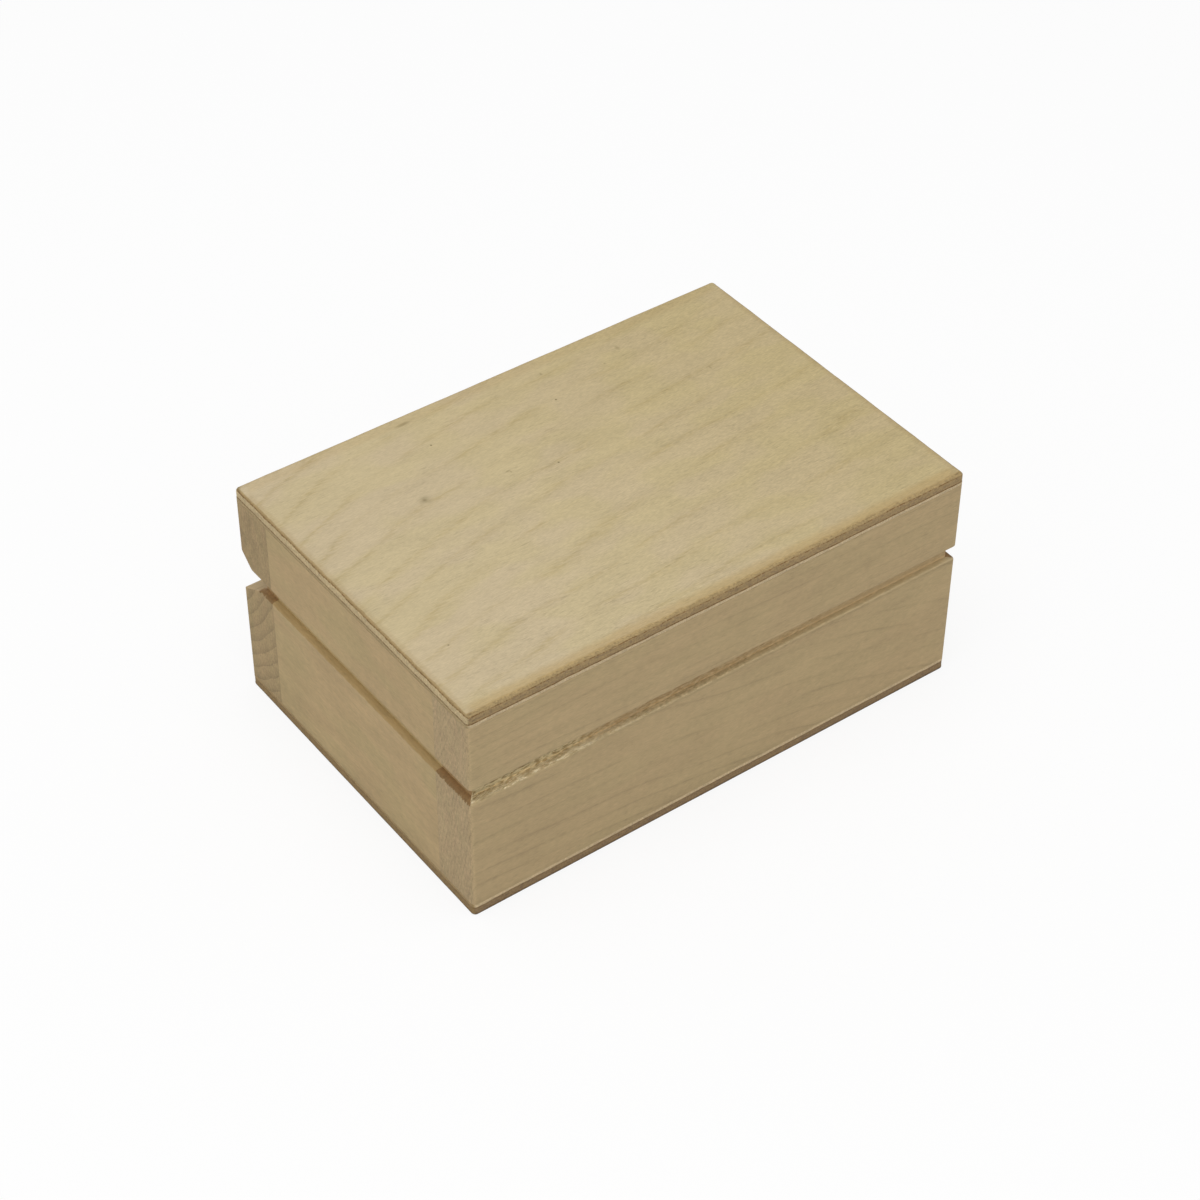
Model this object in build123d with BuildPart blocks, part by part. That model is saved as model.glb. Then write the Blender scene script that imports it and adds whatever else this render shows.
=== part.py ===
from build123d import *
import math
import os

os.makedirs("parts", exist_ok=True)

# A small hinged wooden box. X runs along the front, Y from front to rear, Z up.
# The origin is the middle of the underside. All sizes are in millimetres.

# Overall sizes
box_length = 125.0
box_depth = 85.0
base_height = 35.2
lid_height = 19.8
wall_thickness = 12.0
panel_thickness = 3.0

# Rounding of the outer edges: the plywood top and the upright corners, the underside, the edges beside
# the grooves, and the lower rims of the lid's rails
edge_radius = 1.0
bottom_edge_radius = 0.5
groove_edge_radius = 0.6
rail_edge_radius = 0.25

# Shadow groove round the front and the ends, just below the lid
groove_height = 3.5
groove_depth = 1.6

# Rear joint: a lip that carries the hinges, a bevel behind it, and a chamfer along the lid
rear_lip_thickness = 4.5
rear_bevel_drop = 4.1
lid_chamfer_depth = 4.4
lid_chamfer_height = 4.0
lid_chamfer_foot_radius = 2.0

# Hinges
hinge_length = 12.0
hinge_end_distance = 24.0
leaf_thickness = 0.6
leaf_inner_margin = 0.6
leaf_corner_radius = 0.5
closed_leaf_gap = 0.2
knuckle_count = 3
knuckle_gap = 0.2
pin_diameter = 1.2
pin_clearance = 0.05
knuckle_lip_clearance = 0.3
knuckle_side_clearance = 0.3
mortise_clearance = 0.1

# Hinge nails
nail_diameter = 0.9
nail_head_diameter = 2.0
nail_head_land = 0.05
nail_length = 6.0
nail_point_length = 1.0
nail_end_distance = 2.6
nail_clearance = 0.04

# Heights
lid_panel_bottom = base_height + lid_height - panel_thickness
ledge_height = base_height - groove_height
rail_height = lid_height - panel_thickness

# Places across the box
half_length = box_length / 2
half_depth = box_depth / 2
inner_depth = box_depth - 2 * wall_thickness
rear_inner_y = half_depth - wall_thickness
end_wall_x = half_length - wall_thickness / 2
long_wall_y = half_depth - wall_thickness / 2

# The V-shaped groove at the rear
rear_lip_y = rear_inner_y + rear_lip_thickness
bevel_foot_z = ledge_height - rear_bevel_drop
chamfer_foot_y = half_depth - lid_chamfer_depth
chamfer_top_z = base_height + lid_chamfer_height

# Hinge line, parallel to the rear edge and level with the top of the lip
pin_radius = pin_diameter / 2
bore_radius = pin_radius + pin_clearance
knuckle_radius = bore_radius + leaf_thickness
hinge_y = rear_lip_y + knuckle_lip_clearance + knuckle_radius
hinge_z = base_height
hinge_x = half_length - hinge_end_distance
knuckle_pitch = hinge_length / knuckle_count
knuckle_length = knuckle_pitch - knuckle_gap

# Leaves lie in mortises cut right across the lip and the rail, flat on the one and flat against the other
leaf_inner_y = rear_inner_y + leaf_inner_margin
base_leaf_top = hinge_z - closed_leaf_gap / 2
base_leaf_bottom = base_leaf_top - leaf_thickness
lid_leaf_bottom = hinge_z + closed_leaf_gap / 2
lid_leaf_top = lid_leaf_bottom + leaf_thickness
leaf_plate_y = hinge_y - knuckle_radius - knuckle_side_clearance
mortise_length = hinge_length + 2 * mortise_clearance
knuckle_room_radius = knuckle_radius + knuckle_side_clearance

# Nails stand midway across the plate, near its two ends
nail_radius = nail_diameter / 2
nail_head_radius = nail_head_diameter / 2
nail_head_height = leaf_thickness - nail_head_land
nail_head_angle = 2 * math.degrees(math.atan2(nail_head_radius - nail_radius, nail_head_height))
nail_hole_radius = nail_radius + nail_clearance
nail_y = (leaf_inner_y + rear_lip_y) / 2
nail_spacing = hinge_length - 2 * nail_end_distance


def hinge_sides():
    """The name and the X of each hinge."""
    return (("left", -hinge_x), ("right", hinge_x))


def nail_places(x, z):
    """The two points at height z where the nails of the hinge at x enter the leaf."""
    return [(x - nail_spacing / 2, nail_y, z), (x + nail_spacing / 2, nail_y, z)]


def knuckle_starts(x, first):
    """The X where every second knuckle of the hinge at x starts, from knuckle number first on."""
    left = x - hinge_length / 2 + knuckle_gap / 2
    return [left + number * knuckle_pitch for number in range(first, knuckle_count, 2)]


def knuckle_middles(x, first):
    """The X of the middle of the same knuckles."""
    return [start + knuckle_length / 2 for start in knuckle_starts(x, first)]


# Plywood bottom, rounded over round its underside
with BuildPart() as base_bottom_panel:
    with BuildSketch(Plane.XY):
        Rectangle(box_length, box_depth)
    extrude(amount=panel_thickness)
    fillet(base_bottom_panel.edges().filter_by(Axis.Z), radius=edge_radius)
    fillet(base_bottom_panel.faces().sort_by(Axis.Z)[0].edges(), radius=bottom_edge_radius)

base_bottom_panel.part.label = "base_bottom_panel"
export_step(base_bottom_panel.part, "parts/base_bottom_panel.step")


# Front wall, full length, with a lip set back from the groove on its front and at both ends
with BuildPart() as base_front_wall:
    with BuildSketch(Plane.XY.offset(panel_thickness)):
        with Locations((0, -long_wall_y)):
            Rectangle(box_length, wall_thickness)
    extrude(amount=ledge_height - panel_thickness)
    outer_corners = base_front_wall.edges().filter_by(Axis.Z).group_by(Axis.Y)[0]
    fillet(outer_corners, radius=edge_radius)
    ledge_edges = base_front_wall.faces().sort_by(Axis.Z)[-1].edges()
    inner_edge = ledge_edges.filter_by(Axis.X).sort_by(Axis.Y)[-1]
    fillet(ledge_edges - ShapeList([inner_edge]), radius=groove_edge_radius)
    with BuildSketch(Plane.XY.offset(ledge_height)):
        with Locations((0, -long_wall_y + groove_depth / 2)):
            Rectangle(box_length - 2 * groove_depth, wall_thickness - groove_depth)
    extrude(amount=groove_height)

base_front_wall.part.label = "base_front_wall"
export_step(base_front_wall.part, "parts/base_front_wall.step")


# Rear wall, full length, with its lip, the bevel behind the lip, and a mortise for each hinge
with BuildPart() as base_rear_wall:
    with BuildSketch(Plane.XY.offset(panel_thickness)):
        with Locations((0, long_wall_y)):
            Rectangle(box_length, wall_thickness)
    extrude(amount=ledge_height - panel_thickness)
    outer_corners = base_rear_wall.edges().filter_by(Axis.Z).group_by(Axis.Y)[-1]
    fillet(outer_corners, radius=edge_radius)
    ledge_ends = base_rear_wall.faces().sort_by(Axis.Z)[-1].edges().filter_by(Axis.Y)
    fillet(ledge_ends, radius=groove_edge_radius)
    with BuildSketch(Plane.YZ) as bevelled_profile:
        with BuildLine():
            Polyline(
                (rear_inner_y, panel_thickness),
                (half_depth, panel_thickness),
                (half_depth, bevel_foot_z),
                (rear_lip_y, ledge_height),
                (rear_inner_y, ledge_height),
                close=True,
            )
        make_face()
        bevel_foot = bevelled_profile.vertices().sort_by_distance((half_depth, bevel_foot_z))[0]
        fillet(bevel_foot, radius=groove_edge_radius)
    extrude(amount=half_length, both=True, mode=Mode.INTERSECT)
    with BuildSketch(Plane.XY.offset(ledge_height)):
        with Locations((0, rear_inner_y + rear_lip_thickness / 2)):
            Rectangle(box_length - 2 * groove_depth, rear_lip_thickness)
    extrude(amount=groove_height)
    with BuildSketch(Plane.XY.offset(base_leaf_bottom)):
        with Locations(*[(x, (rear_inner_y + rear_lip_y) / 2) for side, x in hinge_sides()]):
            Rectangle(mortise_length, rear_lip_y - rear_inner_y)
    extrude(amount=base_height - base_leaf_bottom, mode=Mode.SUBTRACT)
    with BuildSketch(Plane.XY.offset(base_leaf_bottom)):
        with Locations(*[place for side, x in hinge_sides() for place in nail_places(x, 0)]):
            Circle(nail_hole_radius)
    extrude(amount=-nail_length, mode=Mode.SUBTRACT)

base_rear_wall.part.label = "base_rear_wall"
export_step(base_rear_wall.part, "parts/base_rear_wall.step")


# End walls, butted between the front and rear walls, with the groove along their outer top edge
for side, outward in (("left", -1), ("right", 1)):
    with BuildPart() as base_end_wall:
        with BuildSketch(Plane.XY.offset(panel_thickness)):
            with Locations((outward * end_wall_x, 0)):
                Rectangle(wall_thickness, inner_depth)
        extrude(amount=ledge_height - panel_thickness)
        top_edges = base_end_wall.faces().sort_by(Axis.Z)[-1].edges().filter_by(Axis.Y)
        outer_edge = top_edges.sort_by(Axis.X)[0 if outward < 0 else -1]
        fillet(outer_edge, radius=groove_edge_radius)
        with BuildSketch(Plane.XY.offset(ledge_height)):
            with Locations((outward * (end_wall_x - groove_depth / 2), 0)):
                Rectangle(wall_thickness - groove_depth, inner_depth)
        extrude(amount=groove_height)

    base_end_wall.part.label = f"base_{side}_wall"
    export_step(base_end_wall.part, f"parts/base_{side}_wall.step")


# Plywood top, rounded over round its upper side
with BuildPart() as lid_panel:
    with BuildSketch(Plane.XY.offset(lid_panel_bottom)):
        Rectangle(box_length, box_depth)
    extrude(amount=panel_thickness)
    top_edges = lid_panel.faces().sort_by(Axis.Z)[-1].edges()
    upright_edges = lid_panel.edges().filter_by(Axis.Z)
    fillet(top_edges + upright_edges, radius=edge_radius)

lid_panel.part.label = "lid_panel"
export_step(lid_panel.part, "parts/lid_panel.step")


# Front rail of the lid, full length, eased along the edge that overhangs the groove
with BuildPart() as lid_front_rail:
    with BuildSketch(Plane.XY.offset(base_height)):
        with Locations((0, -long_wall_y)):
            Rectangle(box_length, wall_thickness)
    extrude(amount=rail_height)
    outer_corners = lid_front_rail.edges().filter_by(Axis.Z).group_by(Axis.Y)[0]
    fillet(outer_corners, radius=edge_radius)
    lower_edges = lid_front_rail.faces().sort_by(Axis.Z)[0].edges()
    inner_edge = lower_edges.filter_by(Axis.X).sort_by(Axis.Y)[-1]
    fillet(lower_edges - ShapeList([inner_edge]), radius=rail_edge_radius)

lid_front_rail.part.label = "lid_front_rail"
export_step(lid_front_rail.part, "parts/lid_front_rail.step")


# Rear rail of the lid, with the chamfer that makes the V-shaped groove, and room for each hinge
with BuildPart() as lid_rear_rail:
    with BuildSketch(Plane.XY.offset(base_height)):
        with Locations((0, long_wall_y)):
            Rectangle(box_length, wall_thickness)
    extrude(amount=rail_height)
    outer_corners = lid_rear_rail.edges().filter_by(Axis.Z).group_by(Axis.Y)[-1]
    fillet(outer_corners, radius=edge_radius)
    lower_ends = lid_rear_rail.faces().sort_by(Axis.Z)[0].edges().filter_by(Axis.Y)
    fillet(lower_ends, radius=rail_edge_radius)
    with BuildSketch(Plane.YZ) as chamfered_profile:
        with BuildLine():
            Polyline(
                (rear_inner_y, base_height),
                (chamfer_foot_y, base_height),
                (half_depth, chamfer_top_z),
                (half_depth, lid_panel_bottom),
                (rear_inner_y, lid_panel_bottom),
                close=True,
            )
        make_face()
        chamfer_foot = chamfered_profile.vertices().sort_by_distance((chamfer_foot_y, base_height))[0]
        fillet(chamfer_foot, radius=lid_chamfer_foot_radius)
        chamfer_top = chamfered_profile.vertices().sort_by_distance((half_depth, chamfer_top_z))[0]
        fillet(chamfer_top, radius=groove_edge_radius)
    extrude(amount=half_length, both=True, mode=Mode.INTERSECT)
    with BuildSketch(Plane.XY.offset(base_height)):
        with Locations(*[(x, (rear_inner_y + hinge_y) / 2) for side, x in hinge_sides()]):
            Rectangle(mortise_length, hinge_y - rear_inner_y)
    extrude(amount=lid_leaf_top - base_height, mode=Mode.SUBTRACT)
    for side, x in hinge_sides():
        with BuildSketch(Plane.YZ.offset(x - mortise_length / 2)):
            with Locations((hinge_y, hinge_z)):
                Circle(knuckle_room_radius)
        extrude(amount=mortise_length, mode=Mode.SUBTRACT)
    with BuildSketch(Plane.XY.offset(lid_leaf_top)):
        with Locations(*[place for side, x in hinge_sides() for place in nail_places(x, 0)]):
            Circle(nail_hole_radius)
    extrude(amount=nail_length, mode=Mode.SUBTRACT)

lid_rear_rail.part.label = "lid_rear_rail"
export_step(lid_rear_rail.part, "parts/lid_rear_rail.step")


# End rails of the lid, butted between its front and rear rails
for side, outward in (("left", -1), ("right", 1)):
    with BuildPart() as lid_end_rail:
        with BuildSketch(Plane.XY.offset(base_height)):
            with Locations((outward * end_wall_x, 0)):
                Rectangle(wall_thickness, inner_depth)
        extrude(amount=rail_height)
        lower_edges = lid_end_rail.faces().sort_by(Axis.Z)[0].edges().filter_by(Axis.Y)
        outer_edge = lower_edges.sort_by(Axis.X)[0 if outward < 0 else -1]
        fillet(outer_edge, radius=rail_edge_radius)

    lid_end_rail.part.label = f"lid_{side}_rail"
    export_step(lid_end_rail.part, f"parts/lid_{side}_rail.step")


# Each leaf: its name, the underside of its plate, the face that its nails are driven into, which way
# that face looks, and its first knuckle
leaves = (
    ("base", base_leaf_bottom, base_leaf_top, 1, 1),
    ("lid", lid_leaf_bottom, lid_leaf_bottom, -1, 0),
)

# Two brass butt hinges in the groove at the rear
for side, x in hinge_sides():
    for leaf, plate_z, face_z, facing, first_knuckle in leaves:
        # Leaf: a plate, tongues that run out from it, and the knuckles that the tongues end in
        with BuildPart() as hinge_leaf:
            with BuildSketch(Plane.XY.offset(plate_z)):
                with Locations((x, (leaf_inner_y + leaf_plate_y) / 2)):
                    Rectangle(hinge_length, leaf_plate_y - leaf_inner_y)
                tongue_y = (leaf_plate_y + hinge_y) / 2
                with Locations(*[(middle, tongue_y) for middle in knuckle_middles(x, first_knuckle)]):
                    Rectangle(knuckle_length, hinge_y - leaf_plate_y)
            extrude(amount=leaf_thickness)
            inner_corners = hinge_leaf.edges().filter_by(Axis.Z).group_by(Axis.Y)[0]
            fillet(inner_corners, radius=leaf_corner_radius)
            for start in knuckle_starts(x, first_knuckle):
                with BuildSketch(Plane.YZ.offset(start)):
                    with Locations((hinge_y, hinge_z)):
                        Circle(knuckle_radius)
                extrude(amount=knuckle_length)
            with BuildSketch(Plane.YZ.offset(x)):
                with Locations((hinge_y, hinge_z)):
                    Circle(bore_radius)
            extrude(amount=hinge_length / 2, both=True, mode=Mode.SUBTRACT)
            with Locations(*[Plane(place, z_dir=(0, 0, facing)) for place in nail_places(x, face_z)]):
                CounterSinkHole(
                    nail_hole_radius,
                    nail_head_radius + nail_clearance,
                    depth=leaf_thickness,
                    counter_sink_angle=nail_head_angle,
                )

        hinge_leaf.part.label = f"{side}_hinge_{leaf}_leaf"
        export_step(hinge_leaf.part, f"parts/{side}_hinge_{leaf}_leaf.step")

        # Nails with sunk heads, driven through the leaf into the wood
        with BuildPart() as hinge_nails:
            for place in nail_places(x, face_z):
                with BuildSketch(Plane(place, x_dir=(1, 0, 0), z_dir=(0, -1, 0))):
                    with BuildLine():
                        Polyline(
                            (0, 0),
                            (nail_head_radius, 0),
                            (nail_radius, -facing * nail_head_height),
                            (nail_radius, -facing * (nail_length - nail_point_length)),
                            (0, -facing * nail_length),
                            close=True,
                        )
                    make_face()
                revolve(axis=Axis(place, (0, 0, 1)))

        hinge_nails.part.label = f"{side}_hinge_{leaf}_nails"
        export_step(hinge_nails.part, f"parts/{side}_hinge_{leaf}_nails.step")

    # Pin through the knuckles of both leaves
    with BuildPart() as hinge_pin:
        with BuildSketch(Plane.YZ.offset(x)):
            with Locations((hinge_y, hinge_z)):
                Circle(pin_radius)
        extrude(amount=hinge_length / 2, both=True)

    hinge_pin.part.label = f"{side}_hinge_pin"
    export_step(hinge_pin.part, f"parts/{side}_hinge_pin.step")
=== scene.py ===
import math

import bmesh
import bpy
import numpy as np
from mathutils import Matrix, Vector


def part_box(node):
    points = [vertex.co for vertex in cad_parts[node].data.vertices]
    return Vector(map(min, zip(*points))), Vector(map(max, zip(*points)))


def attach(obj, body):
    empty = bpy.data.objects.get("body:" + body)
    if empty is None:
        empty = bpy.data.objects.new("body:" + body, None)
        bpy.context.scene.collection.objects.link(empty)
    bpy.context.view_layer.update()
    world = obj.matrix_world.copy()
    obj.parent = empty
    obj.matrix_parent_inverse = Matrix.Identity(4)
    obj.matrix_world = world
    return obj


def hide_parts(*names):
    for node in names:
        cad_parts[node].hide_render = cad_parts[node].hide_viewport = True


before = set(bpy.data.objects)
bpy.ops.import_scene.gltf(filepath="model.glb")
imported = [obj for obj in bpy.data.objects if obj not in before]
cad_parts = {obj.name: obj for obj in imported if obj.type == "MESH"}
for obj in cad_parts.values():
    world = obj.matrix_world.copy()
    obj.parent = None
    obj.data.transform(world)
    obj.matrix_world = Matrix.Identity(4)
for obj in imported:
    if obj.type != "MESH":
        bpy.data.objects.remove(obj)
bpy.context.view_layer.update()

# A small unfinished wooden box with a plywood top and bottom and a lid on two brass hinges.
# Shapes and patterns are worked out in millimetres, in the CAD's own frame, and made metres at the end.
MM = 0.001

# Radii of the upright corners and the top's rim, the underside's rim, the ledge beside the groove, the
# lid's rims above it, and the lip that the lid meets
CORNER_RADIUS = 1.0
BOTTOM_RADIUS = 0.35
LEDGE_RADIUS = 0.6
RAIL_RADIUS = 0.25
LIP_EASE = 0.2

# Bevels on the rear boards, on the leaves and pins of the hinges, and on the nails
BOARD_BEVEL = 0.15
HINGE_BEVEL = 0.05
NAIL_BEVEL = 0.03

# The shadow groove round the front and the ends
GROOVE_DEPTH = 1.6
GROOVE_HEIGHT = 3.5

# Grids: the steps round a rounded edge, the spacing elsewhere, and the spacing along the torn ledge.
# Lines STEP apart make a step in the shape, points nearer than WELD are one, and TINY keeps a division
# from being by nothing.
EDGE_STEPS = 6
GRID_SPACING = 1.5
TORN_SPACING = 0.3
STEP = 1e-5
WELD = 1e-3
TINY = 1e-9

# An edge that turns by more than the first angle is sharp, and one by less than the second is flat
SHARP_ANGLE = math.radians(35)
FLAT_ANGLE = math.radians(0.5)

# Plywood: the thickness of the outer ply and of the inner one, and how much thinner the top's outer ply
# looks, as it is sanded more
OUTER_PLY = 0.55
INNER_PLY = 0.84
TOP_SANDED_OFF = 0.13

# Relief along a panel's edge: how far the plies wobble up and down, how far the core stands back and
# how tall the slope to it is, and how deep and tall the seam beside the boards is
PLY_WOBBLE = 0.07
CORE_RELIEF = 0.05
CORE_SLOPE = 0.12
SEAM_DEPTH = 0.1
SEAM_HEIGHT = 0.14

# How far from the front's left end the saw tore the groove's ledge, how deep it chipped the rim, and the
# torn fibres' number, seed, rings and sides
TORN_LENGTH = 46.0
CHIP_DEPTH = 0.3
FIBRE_COUNT = 120
FIBRE_SEED = 7
FIBRE_RINGS = 6
FIBRE_SIDES = 5

X_AXIS, Y_AXIS, Z_AXIS = (1, 0, 0), (0, 1, 0), (0, 0, 1)

# The number of the axis that a board's fibres follow
ALONG_X, ALONG_Y = 0, 1


def box_mm(node):
    """The lowest and highest corners of a CAD node, in mm."""
    low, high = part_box(node)
    return np.array(low) / MM, np.array(high) / MM


LID_LOW, LID_HIGH = box_mm("lid_panel")
BASE_LOW = box_mm("base_bottom_panel")[0]
LEFT, FRONT = LID_LOW[:2]
RIGHT, REAR = LID_HIGH[:2]
PANEL_THICKNESS = LID_HIGH[2] - LID_LOW[2]
LEDGE = box_mm("base_front_wall")[1][2] - GROOVE_HEIGHT
REAR_JOINT = box_mm("base_left_wall")[1][1]
FRONT_JOINT = box_mm("base_left_wall")[0][1]


# Node trees

class Wire:
    """A number or a colour that runs along a node tree. Arithmetic on a number adds Math nodes."""

    def __init__(self, nodes, socket):
        self.nodes = nodes
        self.socket = socket

    def math(self, operation, *others):
        """A Math node whose first number is this one."""
        return self.nodes.node("Math", {"operation": operation}, dict(enumerate((self, *others))))

    def __add__(self, other):
        return self.math("ADD", other)

    __radd__ = __add__

    def __sub__(self, other):
        return self.math("SUBTRACT", other)

    def __rsub__(self, other):
        return self.nodes.node("Math", {"operation": "SUBTRACT"}, {0: other, 1: self})

    def __mul__(self, other):
        return self.math("MULTIPLY", other)

    __rmul__ = __mul__

    def __truediv__(self, other):
        return self.math("DIVIDE", other)

    def __pow__(self, other):
        return self.math("POWER", other)


class Nodes:
    """A node tree whose patterns are written as expressions."""

    def __init__(self, tree):
        self.tree = tree

    def node(self, kind, settings=None, inputs=None, output=0):
        """Adds a node of that kind, makes its settings, sets or links its sockets, gives one output."""
        made = self.tree.nodes.new("ShaderNode" + kind)
        for name, value in (settings or {}).items():
            setattr(made, name, value)
        for key, value in (inputs or {}).items():
            self.feed(made.inputs[key], value)
        return Wire(self, made.outputs[output])

    def feed(self, socket, value):
        """Links a wire to a socket, or sets the socket to a plain value."""
        if isinstance(value, Wire):
            self.tree.links.new(value.socket, socket)
        else:
            socket.default_value = value

    def outputs(self, kind, names, inputs=None):
        """Several outputs of one new node."""
        made = self.node(kind, inputs=inputs).socket.node
        return [Wire(self, made.outputs[name]) for name in names]

    def rise(self, value, low, high):
        """A smooth step from 0 where value is low to 1 where it is high."""
        return self.node("MapRange", {"interpolation_type": "SMOOTHSTEP"},
                         {"Value": value, "From Min": low, "From Max": high})

    def mix(self, mask, first, second):
        """The first colour where mask is 0 and the second where it is 1. A Mix node's colours are its
        inputs 6 and 7 and its output 2."""
        return self.node("Mix", {"data_type": "RGBA"}, {0: mask, 6: first, 7: second}, 2)

    def seen(self):
        """1 for rays that the camera, a mirror or glass sends, and 0 for light that spreads."""
        camera, glossy, through = self.outputs(
            "LightPath", ("Is Camera Ray", "Is Glossy Ray", "Is Transmission Ray"))
        return camera.math("MAXIMUM", glossy).math("MAXIMUM", through)


class Finish(Nodes):
    """A material whose patterns are in mm, in the CAD's own frame."""

    def __init__(self, name):
        self.material = bpy.data.materials.new(name)
        self.material.use_nodes = True
        super().__init__(self.material.node_tree)
        self.shader = self.tree.nodes["Principled BSDF"]
        place = self.node("TexCoord", output="Object")
        self.place = self.node("VectorMath", {"operation": "SCALE"}, {0: place, "Scale": 1 / MM})
        self.x, self.y, self.z = self.outputs("SeparateXYZ", "XYZ", {0: self.place})
        self.normal = self.node("TexCoord", output="Normal")

    def noise(self, size, detail, seed, turn=(0, 0, 0)):
        """Noise from 0 to 1 with lumps about size (x, y, z) mm large, turned by the angles in turn. Each
        seed moves it to another place."""
        where = self.node("Mapping", {"vector_type": "TEXTURE"}, {
            "Vector": self.place,
            "Location": (7 * seed, -5 * seed, 3 * seed),
            "Rotation": turn,
            "Scale": size,
        })
        return self.node("TexNoise", {}, {"Vector": where, "Scale": 1.0, "Detail": detail}, "Fac")

    def shade(self, colour, factor):
        """A colour made lighter or darker by a factor."""
        return self.node("VectorMath", {"operation": "SCALE"}, {0: colour, "Scale": factor})

    def facing(self, direction):
        """How squarely the surface faces along a direction or against it, from 0 to 1."""
        turned = self.node(
            "VectorMath", {"operation": "DOT_PRODUCT"}, {0: self.normal, 1: direction}, "Value")
        return turned.math("ABSOLUTE")

    def thin_line(self, value, middle, width):
        """1 where value is the middle, and 0 from half the width away from it."""
        return self.rise((value - middle).math("ABSOLUTE"), width / 2, 0)

    def set(self, **sockets):
        """Sets or links the shader's own sockets, named with an underscore for a space."""
        for key, value in sockets.items():
            self.feed(self.shader.inputs[key.replace("_", " ")], value)

    def bump(self, height, distance):
        """Raises the surface by height times distance, in mm."""
        self.set(Normal=self.node("Bump", {}, {"Height": height, "Distance": distance * MM}))


def tone(red, green, blue):
    """A colour as a picture shows it, 0 to 255 a channel, made linear light by the sRGB curve."""
    shown = np.array([red, green, blue]) / 255
    linear = np.where(shown <= 0.04045, shown / 12.92, ((shown + 0.055) / 1.055) ** 2.4)
    return (*linear.tolist(), 1.0)


def sine(angle):
    """The sine of an angle, of numpy arrays and of wires alike."""
    return angle.math("SINE") if isinstance(angle, Wire) else np.sin(angle)


def wander(along, scale, phase):
    """A smooth uneven line from -1 to 1: three sine waves added up. The first is scale mm long and gives
    half the height. The others are 0.43 and 0.19 times as long and give 0.3 and 0.2 of it."""
    full_turn = 2 * math.pi / scale
    return (0.5 * sine(along * full_turn + phase)
            + 0.3 * sine(along * (full_turn / 0.43) + (phase + 1.7))
            + 0.2 * sine(along * (full_turn / 0.19) + (phase + 4.1)))


def round_panel(x, y):
    """A measure in mm that grows or falls along each of a panel's edges, x plus 1.7 times y."""
    return x + 1.7 * y


def ply_wobble(x, y):
    """How much deeper than even, in mm, the plies lie at a place on the panel's edge."""
    return PLY_WOBBLE * wander(round_panel(x, y), 27, 2.0)


# Meshes

def ruled(*stops):
    """Grid lines between stops: positions with, between each two, the number of equal steps."""
    parts = [
        np.linspace(stops[i], stops[i + 2], stops[i + 1] + 1)[:-1]
        for i in range(0, len(stops) - 2, 2)
    ]
    return np.concatenate(parts + [stops[-1:]])


def steps_across(low, high, spacing=GRID_SPACING):
    """How many steps of about the spacing fit between two places."""
    return max(1, round((high - low) / spacing))


def ramp(value, low, high):
    """0 where value is low or less, 1 where it is high or more, and a straight slope between."""
    return np.clip((value - low) / (high - low), 0, 1)


def block_skin(xs, ys, zs):
    """The skin of a block on a grid: every crossing of the planes xs, ys and zs, and the quads between
    the crossings on its six faces, each seen anticlockwise from outside."""
    counts = [len(xs), len(ys), len(zs)]
    number = np.arange(np.prod(counts)).reshape(counts)
    quads = []
    for axis in range(3):
        for side in (0, -1):
            sheet = np.take(number, side, axis=axis)
            ring = [sheet[:-1, :-1], sheet[1:, :-1], sheet[1:, 1:], sheet[:-1, 1:]]
            if (side == -1) != (axis != 1):
                ring.reverse()
            quads.append(np.stack([corner.ravel() for corner in ring], 1))
    points = np.stack(np.meshgrid(xs, ys, zs, indexing="ij"), -1).reshape(-1, 3)
    return points, np.concatenate(quads)


def welded(points, quads):
    """Drops unused points, makes one of points that fall together, and turns a quad with one side
    closed up into a triangle. A quad with more sides closed up is dropped."""
    used, quads = np.unique(quads, return_inverse=True)
    _, first, merged = np.unique(
        np.round(points[used] / WELD).astype(np.int64), axis=0, return_index=True, return_inverse=True
    )
    quads = merged.reshape(-1)[quads].reshape(-1, 4)
    closed = quads == np.roll(quads, 1, axis=1)
    folded = closed.sum(1) == 1
    triangles = quads[folded][~closed[folded]].reshape(-1, 3)
    return points[used][first], quads[~closed.any(1)].tolist() + triangles.tolist()


def add_piece(name, mesh, body, slot, finish, *nodes):
    """A piece of the object that rides on a body and stands for those CAD nodes, if any."""
    mesh.polygons.foreach_set("use_smooth", np.ones(len(mesh.polygons), bool))
    mesh.set_sharp_from_angle(angle=SHARP_ANGLE)
    mesh.materials.clear()
    mesh.materials.append(finish)
    mesh.update()
    piece = bpy.data.objects.new(name, mesh)
    bpy.context.scene.collection.objects.link(piece)
    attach(piece, body)
    if nodes:
        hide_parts(*nodes)
    return piece


def mesh_of(name, points, faces):
    """A mesh from points in mm and lists of corners."""
    mesh = bpy.data.meshes.new(name)
    mesh.from_pydata((points * MM).tolist(), [], faces)
    return mesh


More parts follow.
